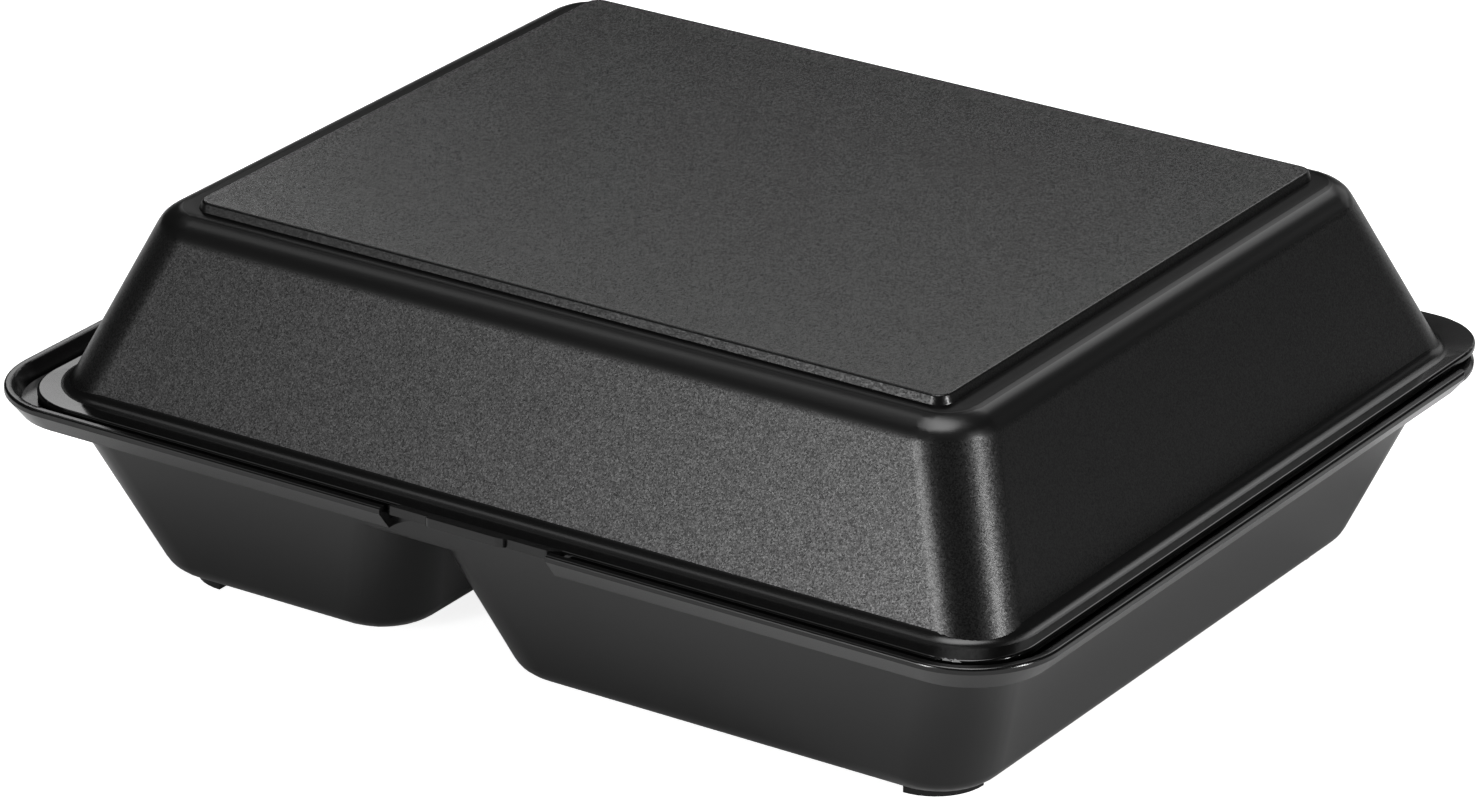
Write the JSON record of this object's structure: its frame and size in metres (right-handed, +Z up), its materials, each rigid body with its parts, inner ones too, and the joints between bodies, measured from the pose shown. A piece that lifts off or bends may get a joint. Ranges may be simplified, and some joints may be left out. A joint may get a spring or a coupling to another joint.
{
  "type": "reusable burger box",
  "caption": "Black reusable burger box: tray with two compartments parted by a channel, flared rim lip and corner feet, and a hinged domed lid with raised top panel and front opening tab.",
  "frame": {"origin": "centre of the box's footprint, on the surface that the corner feet stand on", "axes": "+X along the length towards the larger compartment, +Y back towards the hinge, +Z up"},
  "size_m": [0.24, 0.2004, 0.0808],
  "materials": {
    "tray_plastic": "satin moulded polypropylene, smooth",
    "lid_plastic": "fine spark-textured polypropylene with a smoother flange",
    "hinge_plastic": "thin flexed polypropylene film"
  },
  "bodies": {
    "base": {"tray": "tray_plastic", "hinge_strips": "hinge_plastic"},
    "cover": {"lid": "lid_plastic"}
  },
  "joints": [
    {"name": "lid_hinge", "type": "hinge", "parent": "base", "child": "cover", "pos_m": [0, 0.10057, 0.0407], "axis": [-1, 0, 0], "range_deg": [0, 180], "deforming": ["hinge_strips"]}
  ]
}
